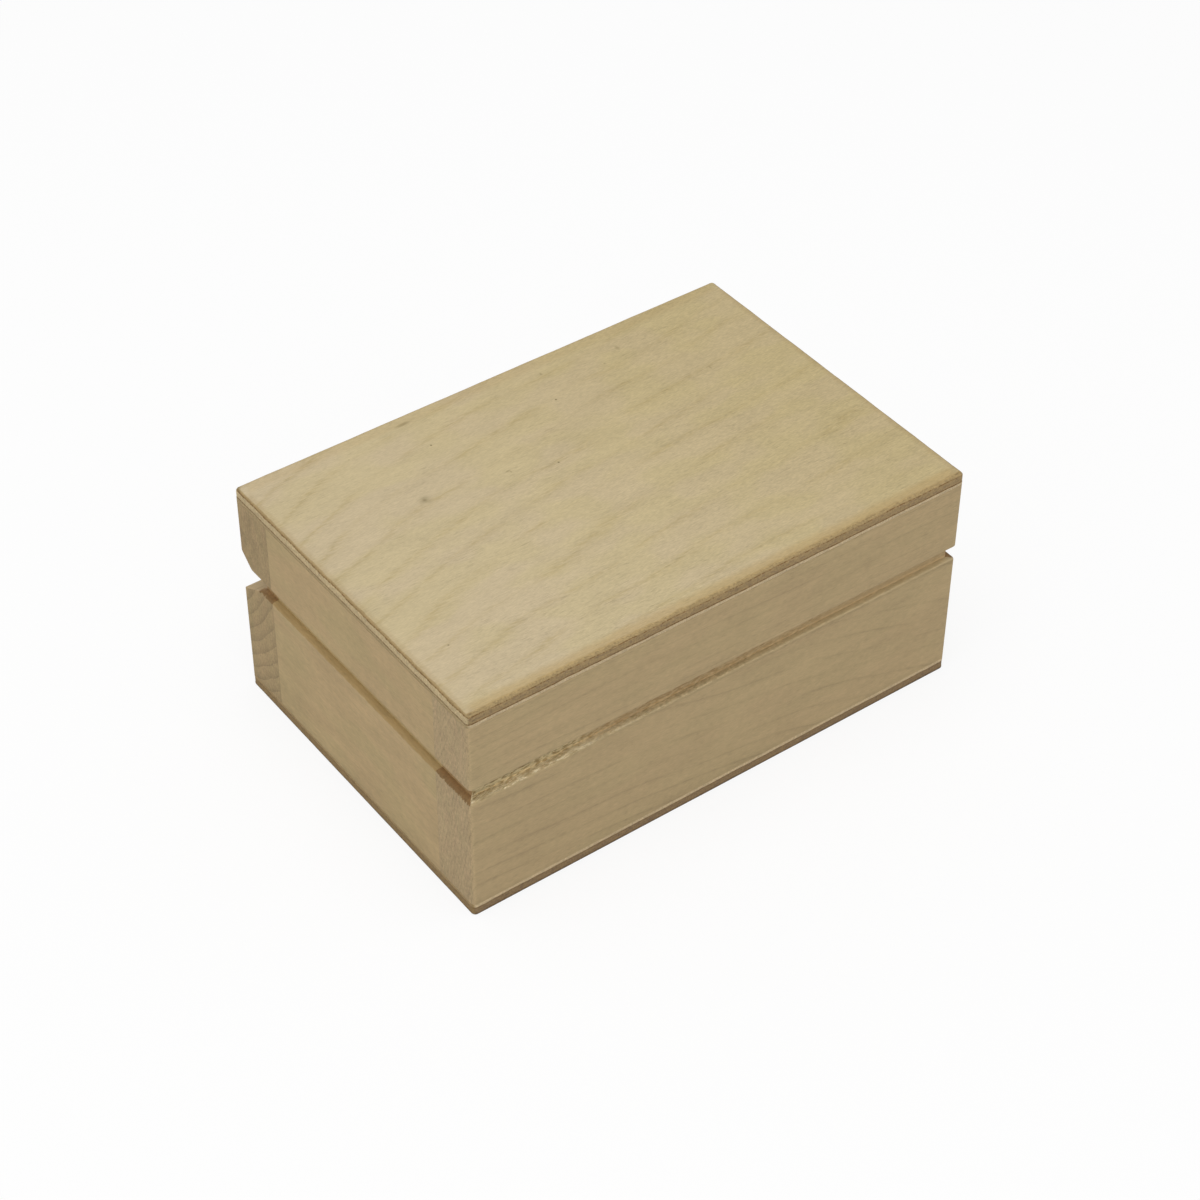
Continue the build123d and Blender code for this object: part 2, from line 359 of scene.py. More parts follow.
def rounded_block(points, low, high, drawn, corner, rim, rim_side):
    """A block with rounded upright corners and one rounded rim. drawn has a 1 for each of the sides
    -x, -y, +x, +y that takes part. In plan, a point's offset from the core, the block drawn in by
    the corner radius, is shortened until its length is what its larger part was. Its distance from the
    core and its height then go round the rim in the same way. rim_side is 1 for the top and -1 for the
    bottom."""
    drawn = np.array(drawn)
    moved = points.copy()
    core = np.clip(moved[:, :2], low[:2] + corner * drawn[:2], np.array(high[:2]) - corner * drawn[2:])
    offset = moved[:, :2] - core
    larger = np.abs(offset).max(1)
    length = np.maximum(np.hypot(offset[:, 0], offset[:, 1]), TINY)
    face = high[2] if rim_side > 0 else low[2]
    out = np.maximum(larger - (corner - rim), 0)
    along = np.maximum(rim_side * (moved[:, 2] - face) + rim, 0)
    both = np.hypot(out, along)
    share = np.where(both > TINY, np.maximum(out, along) / np.maximum(both, TINY), 1)
    new_larger = np.where(out > 0, corner - rim + out * share, larger)
    moved[:, :2] = core + offset * (new_larger / length)[:, None]
    moved[:, 2] = np.where(along > 0, face + rim_side * (along * share - rim), moved[:, 2])
    return moved


def raised_lip(points, heights, low, high, ends):
    """The points' heights once the lip stands on the ledge. A point level with the ledge whose distance
    inside the lip's outline, from low to high, is above nothing rises by the groove's height, and less
    round the outline's quarter-round edge. ends has a 1 for each side -x, -y, +x, +y where the lip
    ends."""
    sides = (points[:, 0] - low[0], points[:, 1] - low[1], high[0] - points[:, 0], high[1] - points[:, 1])
    inside = np.min([side for side, ends_here in zip(sides, ends) if ends_here], axis=0)
    eased = LIP_EASE - np.clip(inside, 0, LIP_EASE)
    rise = GROOVE_HEIGHT - LIP_EASE + np.sqrt(np.maximum(LIP_EASE ** 2 - eased ** 2, 0))
    return heights + np.where((heights > LEDGE - STEP) & (inside > 0), rise, 0)


def ply_relief(x, y, depth):
    """How far the plies stand back at a depth below the panel's face: the core shrinks by a hair, and
    beside the boards below a fine seam is open, now more and now less."""
    ply_depth = depth + ply_wobble(x, y)
    core_end = PANEL_THICKNESS - INNER_PLY
    core = (ramp(ply_depth, OUTER_PLY, OUTER_PLY + CORE_SLOPE)
            * ramp(ply_depth, core_end + CORE_SLOPE, core_end))
    open_seam = 0.6 + 0.4 * wander(x + y, 9, 0.7)
    in_seam = ramp(depth, PANEL_THICKNESS - SEAM_HEIGHT, PANEL_THICKNESS)
    return CORE_RELIEF * core + SEAM_DEPTH * open_seam * in_seam


def panel(node, body, rim_side, radius, finish):
    """A plywood panel: a rounded block whose rim wanders a little, as sanding by hand leaves it, drawn
    in by the relief of its plies along its edge."""
    low, high = box_mm(node)
    edge = CORNER_RADIUS
    xs = ruled(low[0], EDGE_STEPS, low[0] + edge, steps_across(low[0], high[0]), high[0] - edge,
               EDGE_STEPS, high[0])
    ys = ruled(low[1], EDGE_STEPS, low[1] + edge, steps_across(low[1], high[1]), high[1] - edge,
               EDGE_STEPS, high[1])
    before_seam = PANEL_THICKNESS - 0.15
    depths = ruled(0, 10, radius, 16, before_seam, 3, PANEL_THICKNESS)
    zs = (high[2] - depths)[::-1] if rim_side > 0 else low[2] + depths
    points, quads = block_skin(xs, ys, zs)
    x, y = points[:, 0], points[:, 1]
    rim = radius * (0.92 + 0.08 * wander(round_panel(x, y), 31, 1.0))
    moved = rounded_block(points, low, high, (1, 1, 1, 1), edge, rim, rim_side)
    depth = high[2] - moved[:, 2] if rim_side > 0 else moved[:, 2] - low[2]
    core = np.clip(moved[:, :2], low[:2] + edge, high[:2] - edge)
    drawn_in = 1 - ply_relief(x, y, depth) / edge
    moved[:, :2] = core + (moved[:, :2] - core) * drawn_in[:, None]
    name = "sanded_" + node
    add_piece(name, mesh_of(name, *welded(moved, quads)), body, "plywood", finish, node)


def chips(x):
    """How far the ledge's rim is chipped away, in mm, at a place along the front: short nicks, deepest
    at the left end."""
    torn = 1 - ramp(x - LEFT, 0.5 * TORN_LENGTH, TORN_LENGTH)
    return CHIP_DEPTH * torn * np.maximum(wander(x, 5.3, 1.1), 0) ** 2


def board_heights(low, top):
    """Grid lines up a board, close together round its lower and its upper rim."""
    return ruled(low[2], EDGE_STEPS, low[2] + CORNER_RADIUS, 6, top - CORNER_RADIUS, EDGE_STEPS, top)


def add_board(node, body, points, quads, finish):
    """A planed board of solid wood that stands for its CAD node."""
    name = "planed_" + node
    add_piece(name, mesh_of(name, *welded(points, quads)), body, "solid_wood", finish, node)


def front_board(node, body, rim_side, radius, finish):
    """The front wall of the base or the front rail of the lid, full length, with its rounded outer
    corners and a rounded rim towards the groove. The wall also has its lip, and its rim is chipped."""
    low, high = box_mm(node)
    lip = rim_side > 0
    top = LEDGE if lip else high[2]
    corner = CORNER_RADIUS
    back = GROOVE_DEPTH
    torn_end = low[0] + TORN_LENGTH
    xs = ruled(low[0], EDGE_STEPS, low[0] + corner, 2, low[0] + back - STEP, 1, low[0] + back + STEP,
               3, low[0] + back + LIP_EASE, steps_across(low[0], torn_end, TORN_SPACING), torn_end,
               steps_across(torn_end, high[0]), high[0] - back - LIP_EASE, 3, high[0] - back - STEP, 1,
               high[0] - back + STEP, 2, high[0] - corner, EDGE_STEPS, high[0])
    ys = ruled(low[1], EDGE_STEPS, low[1] + corner, 2, low[1] + back - STEP, 1, low[1] + back + STEP,
               3, low[1] + back + LIP_EASE, 4, high[1] - LIP_EASE, 3, high[1])
    points, quads = block_skin(xs, ys, board_heights(low, top))
    rim = radius * (1 + 0.15 * wander(points[:, 0], 23, 0.4)) + (chips(points[:, 0]) if lip else 0)
    moved = rounded_block(points, low, (*high[:2], top), (1, 1, 1, 0), corner, rim, rim_side)
    if lip:
        lip_low = (low[0] + back, low[1] + back)
        lip_high = (high[0] - back, high[1])
        moved[:, 2] = raised_lip(points, moved[:, 2], lip_low, lip_high, (1, 1, 1, 1))
    add_board(node, body, moved, quads, finish)


def end_board(node, body, outward, rim_side, radius, finish):
    """An end wall of the base or an end rail of the lid, butted between the long ones."""
    low, high = box_mm(node)
    lip = rim_side > 0
    top = LEDGE if lip else high[2]
    corner = CORNER_RADIUS
    back = GROOVE_DEPTH
    across = ruled(0, EDGE_STEPS, corner, 2, back - STEP, 1, back + STEP, 3, back + LIP_EASE, 4,
                   high[0] - low[0] - LIP_EASE, 3, high[0] - low[0])
    xs = low[0] + across if outward < 0 else (high[0] - across)[::-1]
    ys = ruled(low[1], steps_across(low[1], high[1]), high[1])
    points, quads = block_skin(xs, ys, board_heights(low, top))
    rim = radius * (1 + 0.15 * wander(points[:, 1], 19, 2.0))
    drawn = (1, 0, 0, 0) if outward < 0 else (0, 0, 1, 0)
    moved = rounded_block(points, low, (*high[:2], top), drawn, corner, rim, rim_side)
    if lip:
        lip_low = (low[0] + (back if outward < 0 else 0), low[1])
        lip_high = (high[0] - (back if outward > 0 else 0), high[1])
        moved[:, 2] = raised_lip(points, moved[:, 2], lip_low, lip_high, (1, 0, 1, 0))
    add_board(node, body, moved, quads, finish)


def slivers(name, start, run, bend, thick, body, finish):
    """Thin tapering splinters, one to a row. At share t of its length a splinter's middle is
    start + run * t + bend * t squared, and its radius is thick * (1 - 0.85 * t squared), round the
    middle in a plane square to the front."""
    share = np.linspace(0, 1, FIBRE_RINGS)[:, None]
    middle = start[:, None] + run[:, None] * share + bend[:, None] * share ** 2
    turn = np.linspace(0, 2 * math.pi, FIBRE_SIDES, endpoint=False)
    way = np.sign(run[:, :1])
    circle = np.stack([0 * way * turn, np.cos(turn) + 0 * way, way * np.sin(turn)], -1)
    radius = thick[:, None] * (1 - 0.85 * share[:, 0] ** 2)
    points = middle[:, :, None] + radius[:, :, None, None] * circle[:, None]
    number = np.arange(points.size // 3).reshape(points.shape[:3])
    beside = np.roll(number, -1, axis=2)
    ring = (number[:, :-1], beside[:, :-1], beside[:, 1:], number[:, 1:])
    quads = np.stack([corner.ravel() for corner in ring], 1)
    caps = np.concatenate([number[:, 0, ::-1], number[:, -1]])
    mesh = mesh_of(name, points.reshape(-1, 3), quads.tolist() + caps.tolist())
    add_piece(name, mesh, body, "solid_wood", finish)


def torn_fibres(finish):
    """Fibres that the saw tore up along the ledge of the front groove, thickest at its left end, where
    three larger splinters stand at the corner."""
    random = np.random.default_rng(FIBRE_SEED)

    # Each starts on the rounded ledge, and more of them do near its rim and its left end
    inward = 0.1 + 1.2 * random.random(FIBRE_COUNT) ** 1.6
    dip = LEDGE_RADIUS - np.sqrt(LEDGE_RADIUS ** 2 - np.maximum(LEDGE_RADIUS - inward, 0) ** 2)
    along = 1.2 + (TORN_LENGTH - 2) * random.random(FIBRE_COUNT) ** 1.7
    start = np.column_stack([LEFT + along, FRONT + inward, LEDGE - dip - 0.03])

    # Most point to the right, and the further right they lie, the less they curl up
    length = random.uniform(0.7, 1.0, FIBRE_COUNT) + 2.4 * random.random(FIBRE_COUNT) ** 2
    way = np.where((random.random(FIBRE_COUNT) < 0.7) | (along < 4), 1, -1)
    run = np.column_stack([way * length, random.uniform(-0.25, 0.25, FIBRE_COUNT), 0.1 * length])
    lift = random.uniform(0.05, 0.9, FIBRE_COUNT) * (1 - 0.6 * along / TORN_LENGTH)
    bend = np.column_stack([0 * lift, random.uniform(-0.1, 0.2, FIBRE_COUNT), lift])
    thick = random.uniform(0.04, 0.10, FIBRE_COUNT)

    # The three splinters at the corner
    corner = np.array([LEFT + 0.7, FRONT + 0.75, LEDGE - 0.05])
    splinter_start = corner + np.array([[0, 0, 0], [0.5, 0.4, 0], [1.2, -0.3, -0.05]])
    splinter_run = np.array([[0.5, 0.3, 1.5], [0.8, 0.2, 1.1], [2.2, -0.1, 0.5]])
    splinter_bend = np.array([[0.3, 0.1, 0.5], [0.7, 0.1, 0.4], [0.4, 0.1, 0.3]])
    splinter_thick = [0.22, 0.17, 0.15]
    slivers(
        "torn_fibres",
        np.concatenate([start, splinter_start]),
        np.concatenate([run, splinter_run]),
        np.concatenate([bend, splinter_bend]),
        np.concatenate([thick, splinter_thick]),
        "base", finish)


def eased_copy(name, node, body, slot, finish, width):
    """A copy of a CAD node's shape, its loose triangles merged and its sharp edges eased by width mm."""
    shape = bmesh.new()
    shape.from_mesh(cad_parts[node].data)
    bmesh.ops.remove_doubles(shape, verts=shape.verts, dist=WELD * MM)
    bmesh.ops.dissolve_limit(shape, angle_limit=FLAT_ANGLE, verts=shape.verts, edges=shape.edges)
    mesh = bpy.data.meshes.new(name)
    shape.to_mesh(mesh)
    shape.free()
    piece = add_piece(name, mesh, body, slot, finish, node)
    ease = piece.modifiers.new("eased_edges", "BEVEL")
    ease.width = width * MM
    ease.segments = 2
    ease.limit_method = "ANGLE"
    ease.angle_limit = SHARP_ANGLE
    ease.harden_normals = True


# Finishes

# Bare wood: its roughness, its specular level and how high its relief is, in mm
WOOD_ROUGHNESS = 0.74
WOOD_SPECULAR = 0.3
WOOD_RELIEF = 0.05

# Marks in the top veneer, the knot and its middle first: place from the front left corner, width, depth,
# how soft the rim is and how dark the middle
MARKS = (
    (29.4, 58.4, 4.4, 3.8, 1.0, 0.30),
    (29.4, 58.4, 1.2, 1.3, 0.9, 0.26),
    (70.8, 70.0, 0.6, 0.6, 0.6, 0.60),
    (58.8, 52.3, 0.6, 0.7, 0.7, 0.60),
    (59.2, 47.8, 0.5, 0.6, 0.9, 0.20),
    (40.5, 72.6, 0.6, 0.7, 0.7, 0.60),
    (8.7, 19.1, 0.6, 0.5, 0.6, 0.48),
    (48.6, 56.1, 1.8, 0.7, 0.9, 0.34),
    (49.0, 55.6, 0.6, 1.0, 0.9, 0.22),
    (104.5, 59.6, 0.7, 1.8, 0.9, 0.24),
    (73.4, 79.2, 0.8, 1.4, 0.9, 0.32),
    (86.8, 74.2, 0.9, 0.8, 0.9, 0.24),
    (24.0, 78.6, 0.7, 0.7, 0.9, 0.22),
    (39.6, 82.0, 5.6, 1.5, 0.9, 0.40),
    (92.4, 77.2, 1.4, 2.4, 0.9, 0.26),
)


def marks_light(finish):
    """How much light the marks leave, from 1 down. In plan, each is an ellipse whose rim fades."""
    light = 1.0
    for x, y, width, depth, softness, dark in MARKS:
        where = finish.node("Mapping", {"vector_type": "TEXTURE"}, {
            "Vector": finish.place,
            "Location": (LEFT + x, FRONT + y, 0),
            "Scale": (width / 2, depth / 2, 0),
        })
        reach = finish.node("VectorMath", {"operation": "LENGTH"}, {0: where}, "Value")
        light = light * (1 - finish.rise(reach, 1, 1 - softness) * dark)
    return light


def veneer_rings(finish, seed):
    """Growth rings on the plywood's face: soft broken lines of equal height above a curve that climbs
    to the right and flattens out, and is less steep near the front. They lie up to 7.6 mm apart, and
    closer together near the front."""
    from_left = finish.x - LEFT
    from_front = finish.y - FRONT
    flattening = 1 - (from_left / -22.0).math("EXPONENT")
    steepness = 0.35 + finish.rise(from_front, 0, 48) * 0.65
    height = from_front - (from_left * 0.12 + flattening * 9.5) * steepness
    crowding = (height / -18.0).math("EXPONENT") * 0.9
    sway = finish.noise((46, 15, 40), 1.0, seed) - 0.5
    ragged = finish.noise((4.5, 0.5, 3), 2.0, seed + 3) - 0.5
    count = height / 7.6 - crowding + sway * 1.1 + ragged * 0.2
    ring = (count + seed).math("FRACT")
    line = ring ** 6 + (1 - ring) ** 14
    patches = finish.rise(finish.noise((20, 7, 30), 1.0, seed + 5), 0.36, 0.62)
    dashes = finish.rise(finish.noise((3.0, 0.4, 2), 2.0, seed + 4), 0.38, 0.60)
    return line * (0.2 + patches * 0.8) * (0.25 + dashes * 0.75)


# Tones of the outer ply, the inner ply and the core, each as its edge shows on the long sides and on
# the ends. The bottom's outer ply is darkened on its long sides with painted contact shade.
TOP_PLIES = (
    ((162, 139, 97), (144, 120, 79)),
    ((203, 182, 145), (172, 151, 112)),
    ((165, 140, 99), (200, 179, 137)),
)
BOTTOM_PLIES = (
    # The outer ply's long side is darkened with painted contact shade from the floor
    ((109, 95, 75), (146, 130, 103)),
    ((206, 184, 145), (164, 139, 97)),
    ((144, 120, 86), (144, 119, 79)),
)

# Tones of the veneer's rings, its marks and its worn rear left corner, and of the glue lines and the
# spots in the core
RING_TONE = tone(168, 148, 98)
MARK_TONE = tone(104, 92, 50)
CORNER_TONE = tone(110, 96, 54)
GLUE_TONE = tone(116, 85, 46)
SPOT_TONE = tone(120, 100, 82)

# Tones of the top veneer at its left and right, and hues as shares of a colour's red, green and blue:
# the veneer drifts between two, and the solid wood between the other two
FAIR_LEFT = tone(196, 179, 143)
FAIR_RIGHT = tone(188, 170, 128)
GREYISH = (1.003, 0.999, 1.03)
YELLOWISH = (0.997, 1.001, 0.965)
PINKISH = (1.022, 0.994, 1.014)
GREENISH = (0.978, 1.006, 0.986)


def dyed(colour, hue):
    """A colour with its red, green and blue multiplied by those of a hue."""
    return (*(part * share for part, share in zip(colour, hue)), 1.0)


def birch_plywood(name, top, plies, seed):
    """Three-ply birch. The grain of the outer plies runs along the box and that of the core across
    it, so each side shows pale long grain and brown end grain in turn, with thin glue lines between.
    The face has soft growth rings and fine flecks, and is worn through to brown round its edge. The
    top's also has a knot and a few small marks."""
    finish = Finish(name)
    from_left = finish.x - LEFT
    from_front = finish.y - FRONT
    depth = LID_HIGH[2] - finish.z if top else finish.z - BASE_LOW[2]

    # Flecks, fuzz and patches, which are stronger at the front right, even clouds, and hues that drift
    to_right = finish.rise(from_left + from_front * 0.25, 20, 135)
    rougher = finish.rise(from_left - from_front * 0.6, -20, 90)
    rings = veneer_rings(finish, seed)
    streaks = finish.noise((3.2, 0.2, 1.0), 2.0, seed + 7)
    denser = 0.3 + finish.rise(finish.noise((30, 16, 30), 1.0, seed + 9), 0.35, 0.65) * 0.7
    flecks = finish.rise(streaks, 0.56, 0.72) * denser
    pale_flecks = finish.rise(finish.noise((4.5, 0.25, 1.0), 2.0, seed + 11), 0.58, 0.75)
    fuzz = finish.noise((1.0, 0.2, 0.3), 2.0, seed + 13) - 0.5
    clouds = finish.noise((16, 6, 10), 2.0, seed + 15) - 0.5
    patches = finish.noise((7, 1.8, 5), 2.0, seed + 16) - 0.5
    yellowish = finish.rise(finish.noise((15, 8, 15), 1.0, seed + 27), 0.40, 0.60)
    greyish_fair = finish.mix(to_right, dyed(FAIR_LEFT, GREYISH), dyed(FAIR_RIGHT, GREYISH))
    yellowish_fair = finish.mix(to_right, dyed(FAIR_LEFT, YELLOWISH), dyed(FAIR_RIGHT, YELLOWISH))
    fair = finish.mix(yellowish, greyish_fair, yellowish_fair)
    ringed = finish.mix(rings * 0.52, fair, RING_TONE)
    light = (1.01 - flecks * (0.12 + rougher * 0.08) + pale_flecks * 0.07
             + fuzz * (0.40 + rougher * 0.20) + clouds * 0.12 + patches * (0.11 + rougher * 0.04))
    face = finish.shade(ringed, light)
    if top:
        upper = finish.rise(finish.z, LID_HIGH[2] - 0.5, LID_HIGH[2] - 0.1)
        face = finish.mix(upper * (1 - marks_light(finish)) * 1.3, face, MARK_TONE)

    # Round its edge the face is yellowed, then sanded through to the brown wood below. The band is
    # narrower at the ends and faint at the rear, and has dark specks at its outer side.
    past_end = RIGHT - finish.x.math("ABSOLUTE")
    past_side = REAR - finish.y.math("ABSOLUTE")
    from_outline = (past_end * 2.0).math("MINIMUM", past_side)
    uneven_rim = (finish.noise((1.9, 1.9, 1.9), 3.0, seed + 23) - 0.5) * 1.2
    at_rear = finish.rise(finish.y, REAR - 6, REAR - 1)
    near_end = finish.rise(past_end, 3, 1)
    sanded = finish.rise(from_outline + uneven_rim, 1.45, 0.9) * (0.9 - at_rear * 0.75)
    yellow = finish.rise(from_outline + uneven_rim, 4.2, 1.9) * (0.62 - near_end * 0.37 - at_rear * 0.45)
    specks = finish.rise(finish.noise((0.55, 0.55, 0.55), 2.0, seed + 25), 0.47, 0.56)
    speckled = specks * finish.rise(from_outline, 1.2, 0.4)
    brown = finish.mix(near_end, tone(173, 148, 101), tone(152, 127, 83))
    yellowed = finish.mix(yellow, face, finish.shade(brown, 1.12 + fuzz * 0.5))
    browned = finish.mix(sanded, yellowed, finish.shade(brown, 1.04 + fuzz * 0.7 - speckled * 0.5))

    # Sides: plies and glue lines by depth below the face, a little uneven along the edge. The core has
    # dull dark spots, more of them on its end grain, and the bottom's lowest edge is darkened with painted
    # contact shade.
    unevenness = (finish.noise((4, 4, 2), 3.0, seed + 17) - 0.5) * 0.28
    ply_depth = depth + ply_wobble(finish.x, finish.y) + unevenness
    core_start = OUTER_PLY - TOP_SANDED_OFF if top else OUTER_PLY
    core_end = PANEL_THICKNESS - INNER_PLY
    in_core = (finish.rise(ply_depth, core_start - 0.05, core_start + 0.05)
               * finish.rise(ply_depth, core_end + 0.05, core_end - 0.05))
    on_end = finish.rise(finish.facing(X_AXIS), 0.45, 0.8)
    inner_glue = 0.7 if top else 0.3
    glue = (finish.thin_line(ply_depth, core_start, 0.34) * (0.3 + specks * 0.65 + on_end * 0.1)
            + finish.thin_line(ply_depth, core_end - 0.08, 0.5) * (inner_glue + specks * 0.4))
    inner = finish.rise(ply_depth, core_end - 0.1, core_end + 0.1)
    pores = finish.noise((0.35, 0.35, 0.6), 2.0, seed + 19) - 0.5
    blotches = finish.noise((5, 5, 1.2), 2.0, seed + 21) - 0.5
    spots = finish.rise(finish.noise((1.1, 1.1, 0.5), 3.0, seed + 29), 0.50, 0.62) * in_core
    outer_ply, inner_ply, core = (finish.mix(on_end, tone(*front), tone(*end)) for front, end in plies)
    side = finish.mix(in_core, finish.mix(inner, outer_ply, inner_ply), core)
    spotted = finish.mix(spots * (0.42 - on_end * 0.24), side, SPOT_TONE)
    glued = finish.mix(glue, spotted, GLUE_TONE)
    # Painted contact shade along the bottom panel's lowest edge, by the floor
    painted_contact_shade = 0 if top else finish.rise(depth, 0.55, 0.1) * 0.4
    edge = finish.shade(glued, 1.03 + pores * 0.8 + blotches * 0.24 + fuzz * 0.5 - painted_contact_shade)
    on_face = finish.rise(finish.facing(Z_AXIS), 0.86, 0.995)
    surface = finish.mix(on_face, edge, browned)
    if top:
        rear_left_corner = finish.rise(from_left - from_front + (REAR - FRONT), 2.6, 1.2) * upper
        surface = finish.mix(rear_left_corner * 0.55, surface, CORNER_TONE)

    roughness = WOOD_ROUGHNESS + fuzz * 0.2 + flecks * 0.08
    relief = fuzz * 0.8 - flecks * 0.7 - rings * 0.3 - glue * (1 - on_face) * 0.8 + pores * (1 - on_face)
    finish.set(Base_Color=surface, Roughness=roughness, Specular_IOR_Level=WOOD_SPECULAR)
    finish.bump(relief, WOOD_RELIEF)
    return finish.material


class Board:
    """How one board is cut: the number of the axis that its fibres follow, its growth rings, the tones
    of its long grain and its end grain, its seed, how strong its lines, clouds and hues are on its long
    grain, how much its rings sway, how strong its bands, lines and clouds are on its end grain, and how
    its groove is sawn."""

    def __init__(self, grain, rings, long_tone, end_tone, seed, lines=0.16, clouds=0.2, hues=0.25,
                 sway=1.3, bands=0.04, end_lines=0.04, end_clouds=0.3, sawn=None):
        self.grain = grain
        self.rings = rings
        self.long_tone = long_tone
        self.end_tone = end_tone
        self.seed = seed
        self.lines = lines
        self.clouds = clouds
        self.hues = hues
        self.sway = sway
        self.bands = bands
        self.end_lines = end_lines
        self.end_clouds = end_clouds
        self.sawn = sawn

    def stretched(self, along, across):
        """Sizes that are long along the fibres."""
        return tuple(along if number == self.grain else across for number in range(3))


def wood(name, board):
    """Light solid wood. Rings are whole numbers of a count, so they run through the board and show as
    lines on its long grain and as bands and lines on its end grain."""
    finish = Finish(name)
    seed = board.seed
    stretched = board.stretched
    sway = finish.noise(stretched(55, 14), 1.0, seed) - 0.5
    ragged = finish.noise(stretched(6, 0.8), 2.0, seed + 3) - 0.5
    count = board.rings(finish) + sway * board.sway + ragged * 0.1
    ring = count.math("FRACT")
    late = ring ** 7 + (1 - ring) ** 16
    patches = finish.rise(finish.noise(stretched(26, 6), 1.0, seed + 5), 0.34, 0.64)
    flecks = finish.rise(finish.noise(stretched(2.6, 0.24), 2.0, seed + 7), 0.56, 0.74)
    fuzz = finish.noise(stretched(1.3, 0.22), 2.0, seed + 9) - 0.5
    streaks = finish.noise(stretched(20, 1.0), 2.0, seed + 10) - 0.5
    clouds = finish.noise(stretched(14, 5), 3.0, seed + 11) - 0.5
    mottle = finish.noise((3.0, 3.0, 1.8), 2.0, seed + 12, (math.radians(38), 0, 0)) - 0.5
    tint = finish.rise(finish.noise(stretched(22, 9), 1.0, seed + 13), 0.38, 0.62)
    pores = finish.noise((0.35, 0.35, 0.35), 2.0, seed + 15) - 0.5
    upright_pores = finish.noise((0.3, 0.3, 1.1), 2.0, seed + 16) - 0.5

    # Long grain
    lines = (ring ** 11 + (1 - ring) ** 25) * (0.25 + patches * 0.75)
    drift = 0.5 + (tint - 0.5) * board.hues
    tinted = finish.mix(drift, dyed(board.long_tone, PINKISH), dyed(board.long_tone, GREENISH))
    long_light = (1.01 - lines * board.lines - flecks * 0.09 + fuzz * 0.44 + streaks * 0.16
                  + clouds * board.clouds + mottle * 0.16)
    long_grain = finish.shade(tinted, long_light)

    # End grain: each ring darkens outwards and ends at a line, and hues change from place to place
    hue = finish.noise((4, 1.6, 7), 2.0, seed + 14)
    warm = finish.mix(finish.rise(hue, 0.50, 0.66) * 0.7, board.end_tone, dyed(board.end_tone, PINKISH))
    cool = finish.mix(finish.rise(hue, 0.48, 0.34) * 0.7, warm, dyed(board.end_tone, GREENISH))
    band = 0.5 - ring ** 2 * 1.5
    blotches = finish.noise((6, 3.5, 6), 2.0, seed + 18) - 0.5
    end_light = (1 + band * board.bands - late * board.end_lines + pores * 0.5 + upright_pores * 0.7
                 + fuzz * 0.3 + blotches * board.end_clouds)
    end_grain = finish.shade(cool, end_light)
    axis = (X_AXIS, Y_AXIS)[board.grain]
    on_end = finish.rise(finish.facing(axis), 0.5, 0.85)
    surface = finish.mix(on_end, long_grain, end_grain)

    # Upright corners are paler, and a fine dark line of glue shows at the butt joints
    paler_corner = finish.facing(X_AXIS) * finish.facing(Y_AXIS) * 2
    rear_seam = finish.thin_line(finish.y, REAR_JOINT, 0.5)
    front_seam = finish.thin_line(finish.y, FRONT_JOINT, 0.3)
    seams = (rear_seam * 0.16 + front_seam * 0.05) * finish.facing(X_AXIS)

    # The walls are a little darker towards the bottom, and painted shade dims the ledge's rim, which faces
    # up into the light, but not where the saw tore it
    by_ledge = (finish.rise(finish.z, LEDGE - 0.8, LEDGE - 0.35)
                * finish.rise(finish.z, LEDGE + 0.4, LEDGE + 0.1))
    # Painted shade on the ledge's rim, which faces up into the light
    painted_rim_shade = by_ledge * finish.rise(finish.x - LEFT, 14, 50) * 0.2
    darker_foot = finish.rise(finish.z, 4.8, 3.4) * 0.06
    surface = finish.shade(surface, 1 + paler_corner ** 3 * 0.10 - seams - painted_rim_shade - darker_foot)
    height = fuzz * 0.8 - flecks * 0.5 - lines * 0.3 + pores * on_end * 0.6
    if board.sawn:
        in_groove, cut, cut_height = board.sawn(finish, seed + 17)
        surface = finish.mix(in_groove, surface, cut)
        height = height + in_groove * cut_height
    roughness = WOOD_ROUGHNESS + fuzz * 0.2
    finish.set(Base_Color=surface, Roughness=roughness, Specular_IOR_Level=WOOD_SPECULAR)
    finish.bump(height, WOOD_RELIEF)
    return finish.material


def groove_reach(finish):
    """How far out past the groove's back a point lies, at the ends and along the front."""
    past_end = finish.x.math("ABSOLUTE") - (RIGHT - GROOVE_DEPTH)
    past_front = (FRONT + GROOVE_DEPTH) - finish.y
    return past_end, past_front


